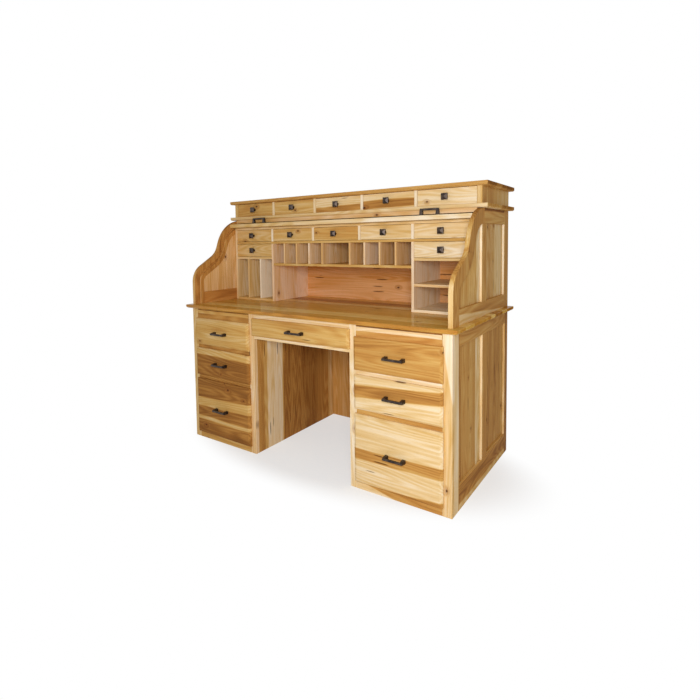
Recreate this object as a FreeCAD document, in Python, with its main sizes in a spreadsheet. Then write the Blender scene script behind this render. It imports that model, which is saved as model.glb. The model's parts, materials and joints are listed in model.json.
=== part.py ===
import FreeCAD, Part
import math
import os
import re
import Sketcher

doc = FreeCAD.newDocument("RollTopDesk")

# Driving sizes: millimetres, degrees or counts. +X is the sitter's right, the front faces -Y.
sizes = {
    # Pedestals and kneehole
    "pedestal_width": 472,
    "kneehole_width": 580,
    "body_depth": 775,
    "side_thickness": 20,
    "inner_side_thickness": 18,
    "back_thickness": 18,
    "kneehole_back_inset": 41,
    "side_front_stile": 52,
    "side_middle_stile": 66,
    "side_rear_stile": 46,
    "side_top_rail": 63,
    "side_bottom_rail": 101,
    "panel_thickness": 8,
    "panel_recess": 10,
    # Face frames of the pedestals, from the floor up
    "frame_thickness": 22,
    "outer_stile": 41,
    "inner_stile": 35,
    "base_rail": 41,
    "file_opening": 298,
    "lower_rail": 33,
    "middle_opening": 142,
    "upper_rail": 32,
    "upper_opening": 136,
    "board_rail": 31,
    "writing_board_thickness": 18,
    "slide_play": 1.5,
    "top_rail": 8.5,
    # Centre drawer frame, from the desk top down
    "centre_top_rail": 29,
    "centre_opening": 79,
    "centre_rail": 22,
    # Desk top
    "top_thickness": 19,
    "top_side_overhang": 29,
    "top_front_overhang": 26,
    "top_back_overhang": 4,
    "top_bevel": 7,
    # Drawers, writing boards and their runners
    "lip_thickness": 18,
    "lip_cover": 6,
    "lip_gap": 0.5,
    "lip_bevel": 12,
    "lip_bevel_depth": 8,
    "plug_depth": 10,
    "inset_front": 16,
    "inset_setback": 1,
    "drawer_wall": 12,
    "small_wall": 9,
    "drawer_bottom": 6,
    "bottom_raise": 9,
    "drawer_headroom": 14,
    "pedestal_back_room": 147,
    "centre_back_room": 236,
    "inner_back_room": 21,
    "hutch_back_room": 30,
    "board_back_room": 197,
    "runner_bearing": 21,
    "runner_height": 18,
    # Pigeonhole case, from the desk top up
    "case_board": 13,
    "thin_divider": 10,
    "alcove_height": 210,
    "pigeonhole_height": 114,
    "inner_opening": 72,
    "stack_opening": 77,
    "case_setback": 57,
    "case_back": 8,
    "drawer_columns": 5,
    "pigeonhole_divisions": 10,
    "slot_count": 3,
    # Roll: flexible curtain, its lead rail and the S-shaped sides
    "rail_gap": 1,
    "rail_thickness": 21,
    "rail_width": 47,
    "rail_play": 0.4,
    "rail_pull_setback": 35,
    "rail_pull_spread": 1064,
    "fascia_gap": 7,
    "fascia_height": 19,
    "fascia_thickness": 18,
    "roll_setback": 3,
    "nose_radius": 105,
    "slope_angle": 30,
    "slope_length": 101,
    "waist_radius": 105,
    "neck_angle": 70,
    "neck_length": 31,
    "crest_radius": 200,
    "roll_stile": 68,
    "groove_offset": 30,
    "groove_width": 14,
    "groove_depth": 8,
    "roll_bottom_rail": 66,
    "roll_middle_stile": 64,
    "roll_rear_stile": 72,
    "tambour_pocket": 90,
    "rear_bend_radius": 50,
    "slat_width": 18,
    "slat_thickness": 12,
    "slat_gap": 1,
    "slat_count": 28,
    # Hutch
    "hutch_setback": 33,
    "hutch_side": 23,
    "hutch_divider": 15,
    "hutch_opening": 78,
    "moulding_thickness": 19,
    "crown_thickness": 19,
    "hutch_overhang": 28,
    "hutch_front_overhang": 16,
    "hutch_bevel": 5,
    # Bar pulls and square knobs
    "pull_centres": 76,
    "pull_bar": 9,
    "pull_foot": 16,
    "pull_projection": 33,
    "knob_size": 30,
    "knob_neck": 13,
    "knob_neck_length": 20,
    "knob_rim": 6,
    "knob_point": 7,
    "knob_point_flat": 8,
    # Boards that the large backs are glued up from
    "kneehole_boards": 5,
    "pedestal_back_boards": 4,
    "upper_back_boards": 9,
}

# Places worked out from the sizes.
places = {
    "half_knee": "kneehole_width / 2",
    "half_body": "half_knee + pedestal_width",
    "half_inside": "half_body - side_thickness",
    "front": "(lip_gap + lip_thickness + pull_projection - body_depth - top_back_overhang) / 2",
    "back": "front + body_depth",
    "back_face": "back - back_thickness",
    "frame_back": "front + frame_thickness",
    "kneehole_face": "back_face - kneehole_back_inset",
    "pedestal_drawer_end": "back_face - pedestal_back_room",
    "centre_drawer_end": "kneehole_face - centre_back_room",
    "board_end": "back_face - board_back_room",
    "middle_floor": "base_rail + file_opening + lower_rail",
    "upper_floor": "middle_floor + middle_opening + upper_rail",
    "board_floor": "upper_floor + upper_opening + board_rail",
    "board_slot_top": "board_floor + writing_board_thickness + slide_play",
    "underside": "board_slot_top + top_rail",
    "desk": "underside + top_thickness",
    "centre_ceiling": "underside - centre_top_rail",
    "centre_floor": "centre_ceiling - centre_opening",
    "shelf_floor": "desk + alcove_height",
    "pigeonhole_floor": "shelf_floor + case_board",
    "row_floor": "pigeonhole_floor + pigeonhole_height",
    "inner_floor": "row_floor + case_board",
    "case_ceiling": "inner_floor + inner_opening",
    "case_top": "case_ceiling + case_board",
    "stack_floor": "row_floor - stack_opening",
    "stack_ceiling": "stack_floor - case_board",
    "rail_floor": "case_top + rail_gap",
    "rail_top": "rail_floor + rail_thickness",
    "fascia_floor": "rail_top + fascia_gap",
    "roll_top": "fascia_floor + fascia_height",
    "hutch_floor": "roll_top + moulding_thickness",
    "hutch_ceiling": "hutch_floor + hutch_opening",
    "nose_rise": "nose_radius * cos(slope_angle)",
    "nose_run": "nose_radius * (1 - sin(slope_angle))",
    "waist_rise": "waist_radius * (cos(slope_angle) - cos(neck_angle))",
    "waist_run": "waist_radius * (sin(neck_angle) - sin(slope_angle))",
    "crest_rise": "crest_radius * (1 - cos(neck_angle))",
    "crest_run": "crest_radius * sin(neck_angle)",
    "slope_rise": "slope_length * sin(slope_angle)",
    "slope_run": "slope_length * cos(slope_angle)",
    "neck_rise": "neck_length * sin(neck_angle)",
    "neck_run": "neck_length * cos(neck_angle)",
    "nose_floor": "roll_top - nose_rise - slope_rise - waist_rise - neck_rise - crest_rise",
    "crest": "front + roll_setback + nose_run + slope_run + waist_run + neck_run + crest_run",
    "waist_joint": "nose_floor + nose_rise + slope_rise"
                   " + waist_radius * (cos(slope_angle) - cos((slope_angle + neck_angle) / 2))",
    "case_front": "crest - case_setback",
    "case_rear": "back_face - tambour_pocket",
    "alcove_face": "case_rear - case_back",
    "pocket_middle": "back_face - tambour_pocket / 2",
    "hutch_front": "crest - hutch_setback",
    "inner_drawer_end": "alcove_face - inner_back_room",
    "hutch_drawer_end": "back_face - hutch_back_room",
    "case_half": "half_inside - case_board",
    "column_width": "(2 * case_half - (drawer_columns - 1) * case_board) / drawer_columns",
    "column_pitch": "column_width + case_board",
    "stack_half": "case_half - column_width - case_board",
    "hutch_half": "half_body - hutch_side",
    "hutch_column": "(2 * hutch_half - (drawer_columns - 1) * hutch_divider) / drawer_columns",
    "hutch_pitch": "hutch_column + hutch_divider",
    "pigeonhole_pitch": "(2 * stack_half + thin_divider) / pigeonhole_divisions",
    "slot_pitch": "(column_width + thin_divider) / slot_count",
    "lip_face": "front - lip_gap - lip_thickness",
    "inset_face": "case_front + inset_setback",
    "hutch_face": "hutch_front + inset_setback",
    "rail_half": "half_inside - rail_play",
    "rail_front": "case_front - rail_width",
}


def tied(text):
    def with_sheet(match):
        word = match.group(0)
        if word in sizes:
            return "Sizes." + word
        if word in places:
            return "Places." + word
        return word

    return re.sub(r"[a-z]\w*", with_sheet, text)


def fill_sheet(name, cells):
    sheet = doc.addObject("Spreadsheet::Sheet", name)
    for row, (alias, content) in enumerate(cells.items(), start=1):
        sheet.set(f"A{row}", alias)
        sheet.set(f"B{row}", content)
        sheet.setAlias(f"B{row}", alias)
    return sheet


size_sheet = fill_sheet("Sizes", {alias: str(number) for alias, number in sizes.items()})
place_sheet = fill_sheet("Places", {alias: "=" + tied(formula) for alias, formula in places.items()})
doc.recompute()


def size(alias):
    return float(size_sheet.get(alias))


def place(alias):
    return float(place_sheet.get(alias))


def bind(feature, bindings):
    for name, text in bindings.items():
        feature.setExpression(name, tied(text))


# Building blocks: a span is a pair of formulas, from the lower plane to the higher one.
def box(name, across, along, up):
    block = doc.addObject("Part::Box", name)
    bind(block, {
        "Placement.Base.x": across[0],
        "Placement.Base.y": along[0],
        "Placement.Base.z": up[0],
        "Length": f"{across[1]} - ({across[0]})",
        "Width": f"{along[1]} - ({along[0]})",
        "Height": f"{up[1]} - ({up[0]})",
    })
    return block


def tapered(name, across, along, up, inset):
    block = doc.addObject("Part::Wedge", name)
    bind(block, {
        "Xmin": f"{across[0]} + {inset}",
        "Xmax": f"{across[1]} - {inset}",
        "Zmin": f"{up[0]} + {inset}",
        "Zmax": f"{up[1]} - {inset}",
        "X2min": across[0],
        "X2max": across[1],
        "Z2min": up[0],
        "Z2max": up[1],
        "Ymin": along[0],
        "Ymax": along[1],
    })
    return block


def fuse(name, blocks):
    joined = doc.addObject("Part::MultiFuse", name)
    joined.Shapes = blocks
    joined.Refine = True
    return joined


def combine(kind, name, base, tool):
    feature = doc.addObject("Part::" + kind, name)
    feature.Base = base
    feature.Tool = tool
    return feature


nodes = []


def node(label, pieces):
    group = doc.addObject("Part::Compound", label)
    group.Label = label
    group.Links = pieces
    nodes.append(group)


def sided(side, near, far):
    # A span measured outward from the middle, on the right as given, on the left mirrored.
    return (near, far) if side == "right" else (f"-({far})", f"-({near})")


def board_row(name, start, end, count_name, along, up):
    # A back glued up from equal upright boards.
    pitch = f"(({end}) - ({start})) / {count_name}"
    boards = []
    for index in range(int(size(count_name))):
        left = f"({start}) + {index} * {pitch}"
        right = f"({start}) + {index + 1} * {pitch}"
        boards.append(box(f"{name}_{index + 1}", (left, right), along, up))
    return boards


# Pedestal sides: a frame with two sunk panels
def outer_side(side):
    label = f"{side}_outer_side"
    skin = sided(side, "half_inside", "half_body")
    sunk = sided(side, "half_body - panel_recess - panel_thickness", "half_body - panel_recess")
    stile_back = "frame_back + side_front_stile"
    rear_start = "back - side_rear_stile"
    middle = f"({stile_back} + {rear_start}) / 2"
    middle_start = f"{middle} - side_middle_stile / 2"
    middle_end = f"{middle} + side_middle_stile / 2"
    full = ("0", "underside")
    field = ("side_bottom_rail", "underside - side_top_rail")
    node(label, [
        box(f"{label}_front_stile", skin, ("frame_back", stile_back), full),
        box(f"{label}_middle_stile", skin, (middle_start, middle_end), field),
        box(f"{label}_rear_stile", skin, (rear_start, "back"), full),
        box(f"{label}_top_rail", skin, (stile_back, rear_start), (field[1], full[1])),
        box(f"{label}_bottom_rail", skin, (stile_back, rear_start), (full[0], field[0])),
        box(f"{label}_front_panel", sunk, (stile_back, middle_start), field),
        box(f"{label}_rear_panel", sunk, (middle_end, rear_start), field),
    ])


# Face frame of one pedestal
def face_frame(side):
    label = f"{side}_face_frame"
    along = ("front", "frame_back")
    rails = {
        "base": ("0", "base_rail"),
        "lower": ("middle_floor - lower_rail", "middle_floor"),
        "upper": ("upper_floor - upper_rail", "upper_floor"),
        "board": ("board_floor - board_rail", "board_floor"),
        "top": ("board_slot_top", "underside"),
    }
    between = sided(side, "half_knee + inner_stile", "half_body - outer_stile")
    pieces = [box(f"{label}_{name}_rail", between, along, up) for name, up in rails.items()]
    full = ("0", "underside")
    outer = sided(side, "half_body - outer_stile", "half_body")
    inner = sided(side, "half_knee", "half_knee + inner_stile")
    pieces.append(box(f"{label}_outer_stile", outer, along, full))
    pieces.append(box(f"{label}_inner_stile", inner, along, full))
    node(label, pieces)


def inner_sides():
    along = ("frame_back", "back_face")
    node("inner_sides", [
        box(f"{side}_inner_side", sided(side, "half_knee", "half_knee + inner_side_thickness"),
            along, ("0", "underside"))
        for side in ("left", "right")
    ])


# Runners under the edges of every drawer and writing board of the base
def drawer_runners():
    along = ("frame_back", "back_face")
    floors = {"file": "base_rail", "middle": "middle_floor", "upper": "upper_floor", "board": "board_floor"}
    pieces = []
    for side in ("left", "right"):
        outer = sided(side, "half_body - outer_stile - runner_bearing", "half_inside")
        inner = sided(side, "half_knee + inner_side_thickness",
                      "half_knee + inner_stile + runner_bearing")
        for name, floor in floors.items():
            up = (f"{floor} - runner_height", floor)
            pieces.append(box(f"{side}_{name}_outer_runner", outer, along, up))
            pieces.append(box(f"{side}_{name}_inner_runner", inner, along, up))
        under_centre = sided(side, "half_knee - runner_bearing", "half_knee")
        pieces.append(box(f"{side}_centre_runner", under_centre,
                          ("frame_back", "centre_drawer_end"),
                          ("centre_floor - runner_height", "centre_floor")))
    node("drawer_runners", pieces)


def centre_rails():
    across = ("-half_knee", "half_knee")
    along = ("front", "frame_back")
    node("centre_rails", [
        box("centre_top_board", across, along, ("centre_ceiling", "underside")),
        box("centre_bottom_board", across, along, ("centre_floor - centre_rail", "centre_floor")),
    ])


def back_panels():
    full = ("0", "underside")
    pieces = board_row("kneehole_back", "-half_knee", "half_knee", "kneehole_boards",
                       ("kneehole_face", "kneehole_face + back_thickness"), full)
    for side in ("left", "right"):
        start, end = sided(side, "half_knee", "half_inside")
        pieces += board_row(f"{side}_pedestal_back", start, end, "pedestal_back_boards",
                            ("back_face", "back"), full)
    node("back_panels", pieces)


# A flat board whose lower front and side edges are bevelled
def bevelled_board(name, half_width, along, floor, thickness, bevel):
    body = doc.addObject("PartDesign::Body", name)
    ground = next(plane for plane in body.Origin.OriginFeatures if plane.Role == "XY_Plane")
    sketch = body.newObject("Sketcher::SketchObject", f"{name}_outline")
    sketch.AttachmentSupport = (ground, [""])
    sketch.MapMode = "FlatFace"
    corners = [FreeCAD.Vector(x, y, 0) for x, y in ((-1, -1), (1, -1), (1, 1), (-1, 1))]
    for index, corner in enumerate(corners):
        sketch.addGeometry(Part.LineSegment(corner, corners[(index + 1) % len(corners)]), False)
    for index in range(len(corners)):
        sketch.addConstraint(Sketcher.Constraint("Coincident", index, 2, (index + 1) % len(corners), 1))
        direction = "Horizontal" if index % 2 == 0 else "Vertical"
        sketch.addConstraint(Sketcher.Constraint(direction, index))
    edges = {
        "left": ("DistanceX", 0, 1, f"-({half_width})"),
        "right": ("DistanceX", 2, 1, half_width),
        "near": ("DistanceY", 0, 1, along[0]),
        "far": ("DistanceY", 2, 1, along[1]),
    }
    for edge, (kind, line, end, text) in edges.items():
        start = corners[line].x if kind == "DistanceX" else corners[line].y
        constraint = sketch.addConstraint(Sketcher.Constraint(kind, -1, 1, line, end, start))
        sketch.renameConstraint(constraint, edge)
        bind(sketch, {f"Constraints.{edge}": text})
    bind(sketch, {"AttachmentOffset.Base.z": floor})
    pad = body.newObject("PartDesign::Pad", f"{name}_pad")
    pad.Profile = sketch
    bind(pad, {"Length": thickness})
    doc.recompute()
    box_of_pad = pad.Shape.BoundBox
    lower = []
    for index, edge in enumerate(pad.Shape.Edges, start=1):
        middle = edge.CenterOfMass
        on_floor = abs(middle.z - box_of_pad.ZMin) < Part.Precision.confusion()
        on_back = abs(middle.y - box_of_pad.YMax) < Part.Precision.confusion()
        if on_floor and not on_back:
            lower.append(f"Edge{index}")
    chamfer = body.newObject("PartDesign::Chamfer", f"{name}_bevel")
    chamfer.Base = (pad, lower)
    bind(chamfer, {"Size": bevel})
    return body


def desk_top():
    node("desk_top", [
        bevelled_board("desk_board", "half_body + top_side_overhang",
                       ("front - top_front_overhang", "back + top_back_overhang"),
                       "underside", "top_thickness", "top_bevel"),
    ])


# Drawers: an opening is its span across, its front plane and its span up
def drawer(label, across, up, front_piece, box_front, box_back, wall):
    left = f"{across[0]} + slide_play"
    right = f"{across[1]} - slide_play"
    along = (box_front, box_back)
    floor = up[0]
    rim = (floor, f"{up[1]} - drawer_headroom")
    raised = f"{floor} + bottom_raise"
    tray = (f"{left} + {wall}", f"{right} - {wall}")
    bottom_top = f"{raised} + drawer_bottom"
    node(label, [
        front_piece,
        box(f"{label}_left_wall", (left, tray[0]), along, rim),
        box(f"{label}_right_wall", (tray[1], right), along, rim),
        box(f"{label}_bottom", tray, along, (raised, bottom_top)),
        box(f"{label}_back", tray, (f"{box_back} - {wall}", box_back), (bottom_top, rim[1])),
    ])


def lipped_front(label, across, up):
    wide = (f"{across[0]} - lip_cover", f"{across[1]} + lip_cover")
    tall = (f"{up[0]} - lip_cover", f"{up[1]} + lip_cover")
    shoulder = "lip_face + lip_bevel_depth"
    plug_across = (f"{across[0]} + slide_play", f"{across[1]} - slide_play")
    plug_up = (f"{up[0]} + slide_play", f"{up[1]} - slide_play")
    return fuse(f"{label}_front", [
        tapered(f"{label}_bevel", wide, ("lip_face", shoulder), tall, "lip_bevel"),
        box(f"{label}_lip", wide, (shoulder, "front - lip_gap"), tall),
        box(f"{label}_plug", plug_across, ("front - lip_gap", "front + plug_depth"), plug_up),
    ])


def lipped_drawer(label, across, up, end):
    front_piece = lipped_front(label, across, up)
    drawer(label, across, up, front_piece, "front + plug_depth", end, "drawer_wall")


def inset_drawer(label, across, up, face, end):
    front_back = f"{face} + inset_front"
    front_piece = box(f"{label}_front",
                      (f"{across[0]} + slide_play", f"{across[1]} - slide_play"),
                      (face, front_back),
                      (f"{up[0]} + slide_play", f"{up[1]} - slide_play"))
    drawer(label, across, up, front_piece, front_back, end, "small_wall")


# A bar pull on two flared feet, made at the origin with its feet against the plane y = 0
def bar_pull(name):
    half_foot = "pull_foot / 2"
    half_bar = "pull_bar / 2"
    neck = "pull_bar - pull_projection"
    blocks = [
        box(f"{name}_bar", (f"-pull_centres / 2 - {half_foot}", f"pull_centres / 2 + {half_foot}"),
            ("-pull_projection", neck), (f"-{half_bar}", half_bar)),
    ]
    for side, middle in (("left", "-pull_centres / 2"), ("right", "pull_centres / 2")):
        blocks.append(tapered(f"{name}_{side}_foot",
                              (f"{middle} - {half_foot}", f"{middle} + {half_foot}"),
                              (neck, "0"),
                              (f"-{half_foot}", half_foot),
                              "(pull_foot - pull_bar) / 2"))
    return fuse(name, blocks)


# A square knob: a neck, a rim and a blunt pyramid, with its neck against the plane y = 0
def square_knob(name):
    half = "knob_size / 2"
    half_neck = "knob_neck / 2"
    rim_back = "-knob_neck_length"
    rim_front = f"{rim_back} - knob_rim"
    point = f"{rim_front} - knob_point"
    square = (f"-{half}", half)
    return fuse(name, [
        box(f"{name}_neck", (f"-{half_neck}", half_neck), (rim_back, "0"), (f"-{half_neck}", half_neck)),
        box(f"{name}_rim", square, (rim_front, rim_back), square),
        tapered(f"{name}_point", square, (point, rim_front), square, "(knob_size - knob_point_flat) / 2"),
    ])


def seat(piece, x, y, z, rotation=FreeCAD.Rotation()):
    piece.Placement = FreeCAD.Placement(FreeCAD.Vector(), rotation)
    bind(piece, {"Placement.Base.x": x, "Placement.Base.y": y, "Placement.Base.z": z})
    return piece


def middle_of(span):
    return f"({span[0]} + {span[1]}) / 2"


def with_pull(label, across, up):
    pull = bar_pull(f"{label}_bar_pull")
    node(f"{label}_pull", [seat(pull, middle_of(across), "lip_face", middle_of(up))])


def with_knob(label, across, up, face):
    knob = square_knob(f"{label}_square_knob")
    node(f"{label}_knob", [seat(knob, middle_of(across), face, middle_of(up))])


def pedestal_drawers(side):
    across = sided(side, "half_knee + inner_stile", "half_body - outer_stile")
    openings = {
        "upper": ("upper_floor", "upper_floor + upper_opening"),
        "middle": ("middle_floor", "middle_floor + middle_opening"),
        "file": ("base_rail", "base_rail + file_opening"),
    }
    for name, up in openings.items():
        label = f"{side}_{name}_drawer"
        lipped_drawer(label, across, up, "pedestal_drawer_end")
        with_pull(label, across, up)


def centre_drawer():
    across = ("-half_knee", "half_knee")
    up = ("centre_floor", "centre_ceiling")
    lipped_drawer("centre_drawer", across, up, "centre_drawer_end")
    with_pull("centre_drawer", across, up)


def writing_board(side):
    label = f"{side}_writing_board"
    across = sided(side, "half_knee + inner_stile + slide_play", "half_body - outer_stile - slide_play")
    node(label, [
        box(f"{label}_leaf", across, ("front", "board_end"),
            ("board_floor", "board_floor + writing_board_thickness")),
    ])


# The S-shaped outline of the roll sides, drawn inward of the edge by an inset
def arc(centre, radius, start, end):
    angles = (start, (start + end) / 2, end)
    points = [centre + radius * compass(angle) for angle in angles]
    return Part.Arc(*points).toShape(), points[-1]


def compass(angle):
    return FreeCAD.Vector(0, math.cos(math.radians(angle)), math.sin(math.radians(angle)))


def roll_block(name, inset, left, thickness):
    slope_normal = size("slope_angle") + 90
    neck_normal = size("neck_angle") + 90
    toe = FreeCAD.Vector(0, place("front") + size("roll_setback") + inset, place("desk"))
    nose_start = FreeCAD.Vector(0, toe.y, place("nose_floor"))
    nose_radius = size("nose_radius") - inset
    nose_centre = nose_start + FreeCAD.Vector(0, nose_radius, 0)
    nose, nose_end = arc(nose_centre, nose_radius, 180, slope_normal)
    slope_end = nose_end + size("slope_length") * compass(size("slope_angle"))
    waist_radius = size("waist_radius") + inset
    waist_centre = slope_end + waist_radius * compass(slope_normal)
    waist, waist_end = arc(waist_centre, waist_radius, slope_normal + 180, neck_normal + 180)
    neck_end = waist_end + size("neck_length") * compass(size("neck_angle"))
    crest_radius = size("crest_radius") - inset
    crest_centre = neck_end - crest_radius * compass(neck_normal)
    crest, crest_end = arc(crest_centre, crest_radius, neck_normal, 90)
    heel = FreeCAD.Vector(0, crest_end.y, toe.z)
    outline = Part.Wire([
        Part.makeLine(toe, nose_start),
        nose,
        Part.makeLine(nose_end, slope_end),
        waist,
        Part.makeLine(waist_end, neck_end),
        crest,
        Part.makeLine(crest_end, heel),
        Part.makeLine(heel, toe),
    ])
    block = doc.addObject("Part::Feature", name)
    block.Shape = Part.Face(outline).extrude(FreeCAD.Vector(thickness, 0, 0))
    block.Placement = FreeCAD.Placement(FreeCAD.Vector(left, 0, 0), FreeCAD.Rotation())
    return block


def roll_band(name, side, near, thickness, start, width):
    # A band that follows the S-shaped edge, from its start inward by its width.
    left = near if side == "right" else -near - thickness
    return combine("Cut", name,
                   roll_block(f"{name}_outer", start, left, thickness),
                   roll_block(f"{name}_inner", start + width, left, thickness))


def roll_side(side):
    label = f"{side}_roll_side"
    sunk_thickness = size("panel_thickness")
    sunk_near = place("half_body") - size("panel_recess") - sunk_thickness
    sunk_left = sunk_near if side == "right" else -sunk_near - sunk_thickness
    skin = sided(side, "half_inside", "half_body")
    sunk = sided(side, "half_body - panel_recess - panel_thickness", "half_body - panel_recess")
    field = ("desk + roll_bottom_rail", "roll_top - roll_stile")
    middle_start = "crest - roll_middle_stile / 2"
    middle_end = "crest + roll_middle_stile / 2"
    rear_start = "back - roll_rear_stile"
    stile_back = "front + roll_setback + roll_stile"
    stile_band = roll_band(f"{label}_stile_band", side, place("half_inside"), size("side_thickness"),
                           0, size("roll_stile"))
    groove_band = roll_band(f"{label}_groove_band", side, place("half_inside"), size("groove_depth"),
                            size("groove_offset"), size("groove_width"))
    grooved_stile = combine("Cut", f"{label}_grooved_stile", stile_band, groove_band)
    stile_span = ("front", "crest")
    lower_stile = combine("Common", f"{label}_lower_stile", grooved_stile,
                          box(f"{label}_lower_half", skin, stile_span, ("desk", "waist_joint")))
    upper_stile = combine("Common", f"{label}_upper_stile", grooved_stile,
                          box(f"{label}_upper_half", skin, stile_span, ("waist_joint", "roll_top")))
    middle_stile = combine("Cut", f"{label}_middle_stile",
                           box(f"{label}_middle_blank", skin, (middle_start, middle_end), field),
                           stile_band)
    front_panel = combine("Common", f"{label}_front_panel",
                          roll_block(f"{label}_panel_field", size("roll_stile"), sunk_left, sunk_thickness),
                          box(f"{label}_panel_blank", sunk, ("front", middle_start), field))
    node(label, [
        lower_stile,
        upper_stile,
        middle_stile,
        front_panel,
        box(f"{label}_rear_panel", sunk, (middle_end, rear_start), field),
        box(f"{label}_rear_stile", skin, (rear_start, "back"), ("desk", "roll_top")),
        box(f"{label}_top_rail", skin, ("crest", rear_start), (field[1], "roll_top")),
        box(f"{label}_bottom_rail", skin, (stile_back, rear_start), ("desk", field[0])),
    ])


def upper_back():
    node("upper_back", board_row("upper_back_board", "-half_inside", "half_inside",
                                 "upper_back_boards", ("back_face", "back"), ("desk", "roll_top")))


# Pigeonhole case: the fixed boards first, then the thin dividers
def column_edges(half, width, pitch, index):
    left = f"{index} * {pitch} - {half}"
    return (left, f"{left} + {width}")


def pigeonhole_case():
    along = ("case_front", "alcove_face")
    inside = ("-case_half", "case_half")
    pieces = [
        box("case_top_board", ("-half_inside", "half_inside"), along, ("case_ceiling", "case_top")),
        box("case_row_board", inside, along, ("row_floor", "inner_floor")),
        box("case_back_board", ("-half_inside", "half_inside"), ("alcove_face", "case_rear"),
            ("desk", "case_top")),
        box("case_shelf", ("-stack_half", "stack_half"), along, ("shelf_floor", "pigeonhole_floor")),
    ]
    for side in ("left", "right"):
        stack = sided(side, "stack_half + case_board", "case_half")
        pieces += [
            box(f"case_{side}_side", sided(side, "case_half", "half_inside"), along,
                ("desk", "case_ceiling")),
            box(f"case_{side}_stack_side", sided(side, "stack_half", "stack_half + case_board"), along,
                ("desk", "row_floor")),
            box(f"case_{side}_stack_board", stack, along, ("stack_ceiling", "stack_floor")),
            box(f"case_{side}_stack_bottom", stack, along, ("desk", "desk + case_board")),
        ]
    for index in range(int(size("drawer_columns")) - 1):
        start = column_edges("case_half", "column_width", "column_pitch", index)[1]
        pieces.append(box(f"case_row_divider_{index + 1}", (start, f"{start} + case_board"), along,
                          ("inner_floor", "case_ceiling")))
    node("pigeonhole_case", pieces)


def pigeonhole_dividers():
    along = ("case_front", "alcove_face")
    divisions = int(size("pigeonhole_divisions"))
    pieces = []
    for index in range(1, divisions):
        if index == divisions // 2:
            continue
        start = f"{index} * pigeonhole_pitch - stack_half - thin_divider"
        pieces.append(box(f"pigeonhole_divider_{index}", (start, f"{start} + thin_divider"), along,
                          ("pigeonhole_floor", "row_floor")))
    slot_up = ("desk + case_board", "stack_ceiling")
    for index in range(1, int(size("slot_count"))):
        start = f"{index} * slot_pitch - case_half - thin_divider"
        pieces.append(box(f"slot_divider_{index}", (start, f"{start} + thin_divider"), along, slot_up))
    shelf_floor = f"{middle_of(slot_up)} - case_board / 2"
    pieces.append(box("stack_shelf", ("stack_half + case_board", "case_half"), along,
                      (shelf_floor, f"{shelf_floor} + case_board")))
    node("pigeonhole_dividers", pieces)


def inner_drawers():
    for index in range(int(size("drawer_columns"))):
        label = f"inner_drawer_{index + 1}"
        across = column_edges("case_half", "column_width", "column_pitch", index)
        up = ("inner_floor", "case_ceiling")
        inset_drawer(label, across, up, "inset_face", "inner_drawer_end")
        with_knob(label, across, up, "inset_face")
    for side in ("left", "right"):
        label = f"{side}_stack_drawer"
        across = sided(side, "stack_half + case_board", "case_half")
        up = ("stack_floor", "row_floor")
        inset_drawer(label, across, up, "inset_face", "inner_drawer_end")
        with_knob(label, across, up, "inset_face")


# Roll: the lead rail lies flat at the top of its travel with the slats behind it
def lead_rail():
    across = ("-rail_half", "rail_half")
    node("tambour_lead_rail", [
        box("lead_rail", across, ("rail_front", "case_front"), ("rail_floor", "rail_top")),
    ])
    pointing_up = FreeCAD.Rotation(FreeCAD.Vector(1, 0, 0), -90)
    node("tambour_pulls", [
        seat(bar_pull(f"lead_rail_{side}_pull"), f"{sign}rail_pull_spread / 2",
             "rail_front + rail_pull_setback", "rail_top", pointing_up)
        for side, sign in (("left", "-"), ("right", ""))
    ])


def tambour_slats():
    # The slats' inner faces follow a level run, a quarter bend and a drop behind the case.
    width = size("slat_width")
    thickness = size("slat_thickness")
    pitch = width + size("slat_gap")
    radius = size("rear_bend_radius")
    start = place("case_front") + size("slat_gap")
    level = (place("rail_floor") + place("rail_top") - thickness) / 2
    bend_start = place("pocket_middle") - radius
    run = bend_start - start
    bend = radius * math.pi / 2
    half = place("rail_half")
    slats = []
    for index in range(int(size("slat_count"))):
        travel = index * pitch + width / 2
        if travel < run:
            y, z, tilt = start + travel, level, 0
        elif travel < run + bend:
            turn = (travel - run) / radius
            y = bend_start + radius * math.sin(turn)
            z = level - radius * (1 - math.cos(turn))
            tilt = -math.degrees(turn)
        else:
            y, z, tilt = place("pocket_middle"), level - radius - (travel - run - bend), -90
        slat = Part.makeBox(2 * half, width, thickness, FreeCAD.Vector(-half, -width / 2, 0))
        slat.Placement = FreeCAD.Placement(FreeCAD.Vector(0, y, z),
                                           FreeCAD.Rotation(FreeCAD.Vector(1, 0, 0), tilt)) * slat.Placement
        slats.append(slat)
    curtain = doc.addObject("Part::Feature", "slat_curtain")
    curtain.Shape = Part.makeCompound(slats)
    node("tambour_slats", [curtain])


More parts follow.
